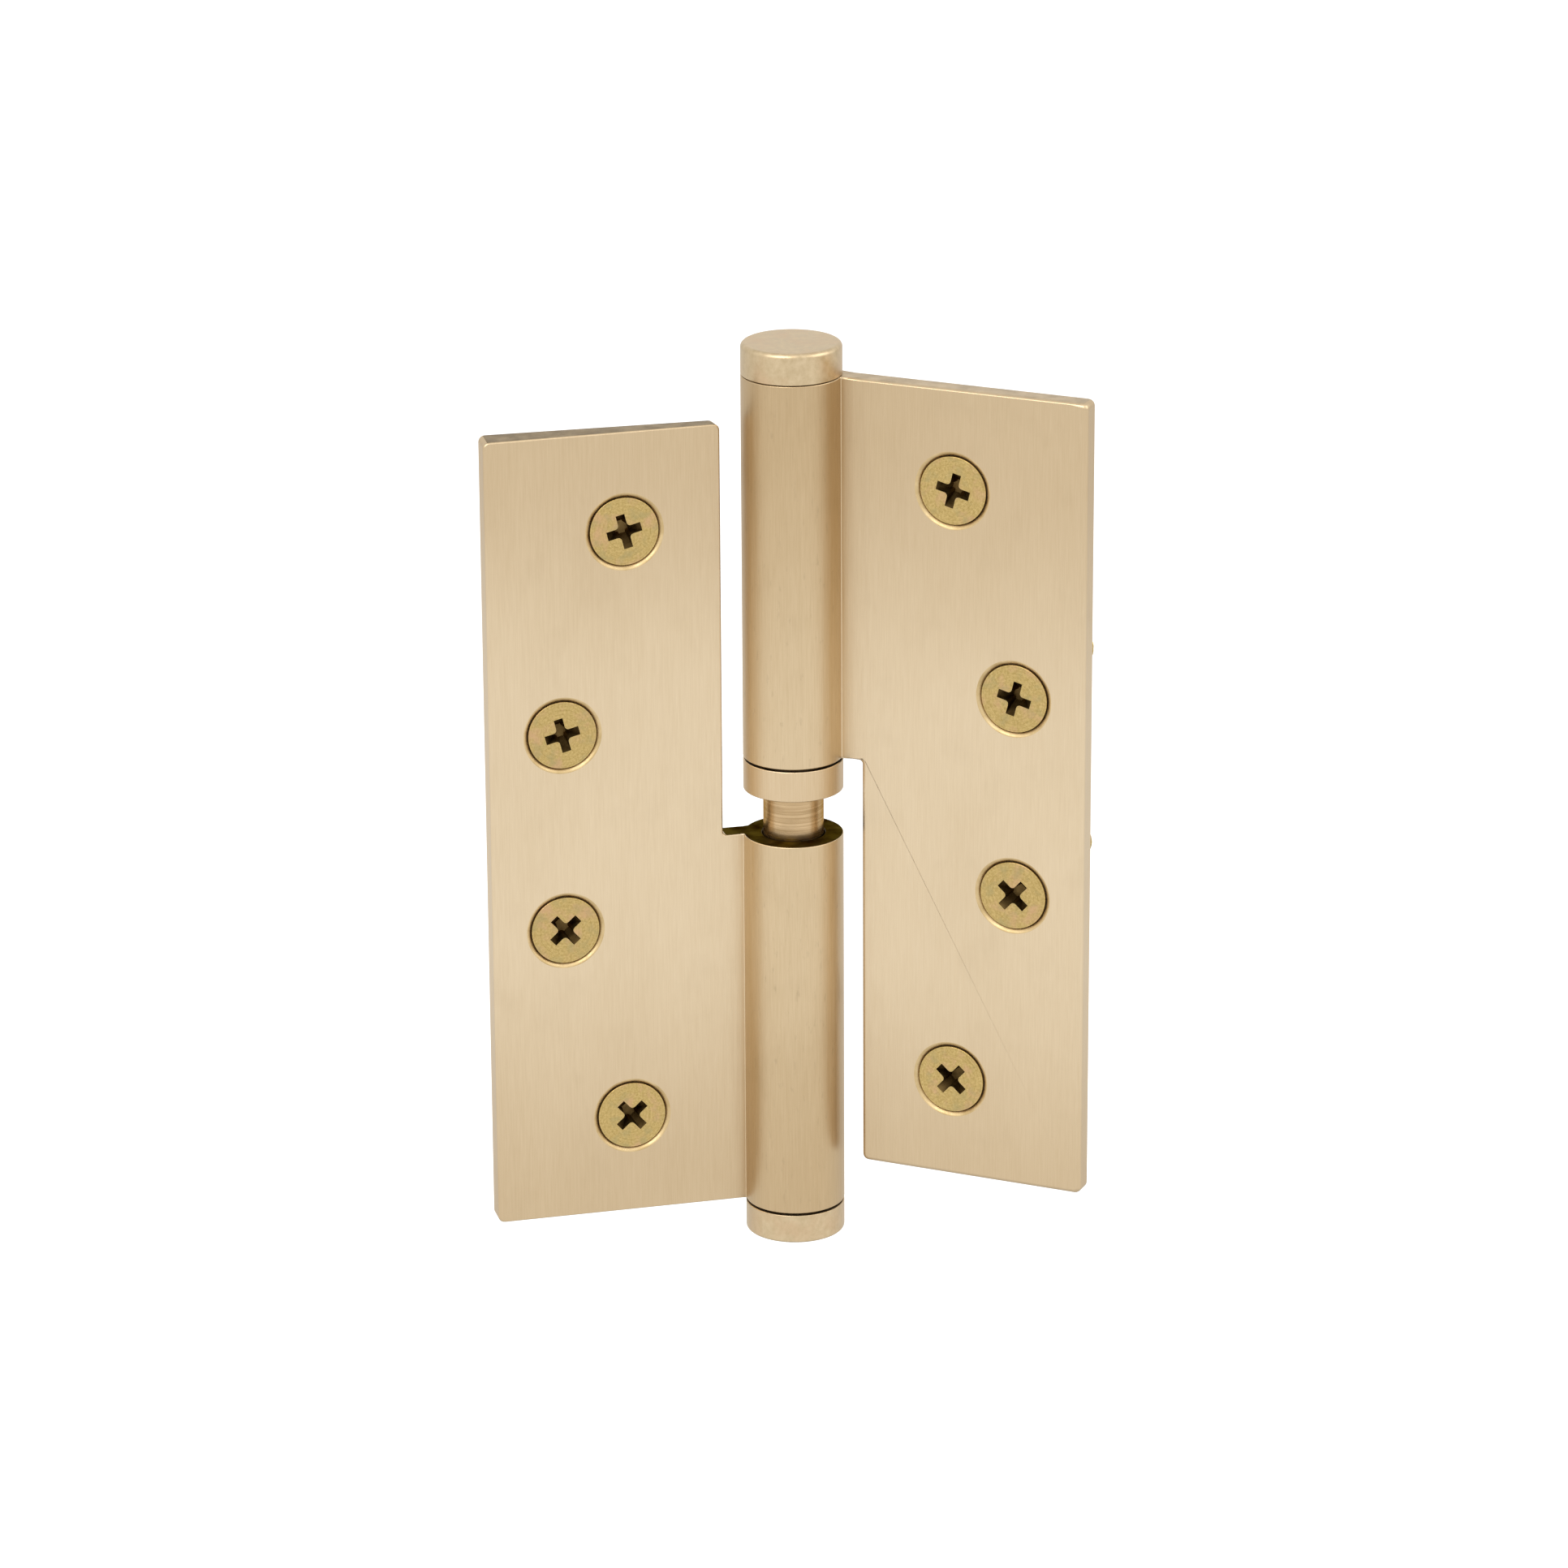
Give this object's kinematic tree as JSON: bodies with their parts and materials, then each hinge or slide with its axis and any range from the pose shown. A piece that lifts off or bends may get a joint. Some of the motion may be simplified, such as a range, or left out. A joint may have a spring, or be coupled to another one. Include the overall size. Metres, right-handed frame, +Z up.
{
  "type": "door hinge",
  "caption": "Lift-off butt hinge in satin brass: two countersunk leaves, a half-height barrel on each, a fixed pin, flat button caps and a ball-bearing collar.",
  "frame": {"origin": "centre of the frame leaf's back face, which lies on the jamb", "axes": "+Y out of the frame leaf's back, into the jamb; +Z up along the pin; +X along the frame leaf towards the pin"},
  "size_m": [0.0771, 0.0491, 0.1155],
  "materials": {
    "satin_brass": "satin brushed, fine upright grain, lacquered",
    "cap_brass": "satin, finely mottled",
    "pin_brass": "turned, fine rings round the pin",
    "bush_bronze": "oiled bronze",
    "screw_plated": "yellow plated, turned head, slight iridescence",
    "bearing_steel": "polished hardened steel"
  },
  "bodies": {
    "frame": {"frame_leaf": "satin_brass", "hinge_pin": "pin_brass", "bottom_cap": "cap_brass", "frame_screw_1": "screw_plated", "frame_screw_2": "screw_plated", "frame_screw_3": "screw_plated", "frame_screw_4": "screw_plated"},
    "collar": {"bearing_collar": "satin_brass", "lower_race": "bearing_steel"},
    "balls": {"ball_cage": "cap_brass", "bearing_ball_01": "bearing_steel", "bearing_ball_02": "bearing_steel", "bearing_ball_03": "bearing_steel", "bearing_ball_04": "bearing_steel", "bearing_ball_05": "bearing_steel", "bearing_ball_06": "bearing_steel", "bearing_ball_07": "bearing_steel", "bearing_ball_08": "bearing_steel", "bearing_ball_09": "bearing_steel", "bearing_ball_10": "bearing_steel", "bearing_ball_11": "bearing_steel", "bearing_ball_12": "bearing_steel"},
    "door": {"door_leaf": "satin_brass", "top_cap": "cap_brass", "knuckle_bush": "bush_bronze", "bearing_retainer": "cap_brass", "upper_race": "bearing_steel", "door_screw_1": "screw_plated", "door_screw_2": "screw_plated", "door_screw_3": "screw_plated", "door_screw_4": "screw_plated"}
  },
  "joints": [
    {"name": "lift_off", "type": "slide", "parent": "frame", "child": "collar", "axis": [0, 0, 1], "range_m": [-0.0058, 0.036]},
    {"name": "leaf_swing", "type": "hinge", "parent": "collar", "child": "door", "pos_m": [0.02345, -0.00375, 0], "axis": [0, 0, 1], "range_deg": [-142, 108]},
    {"name": "ball_orbit", "type": "hinge", "parent": "collar", "child": "balls", "pos_m": [0.02345, -0.00375, 0], "axis": [0, 0, 1], "range_deg": [-71.5, 54.5]}
  ],
  "couplings": [
    {"joint": "ball_orbit", "follows": "leaf_swing", "ratio": 0.5}
  ]
}
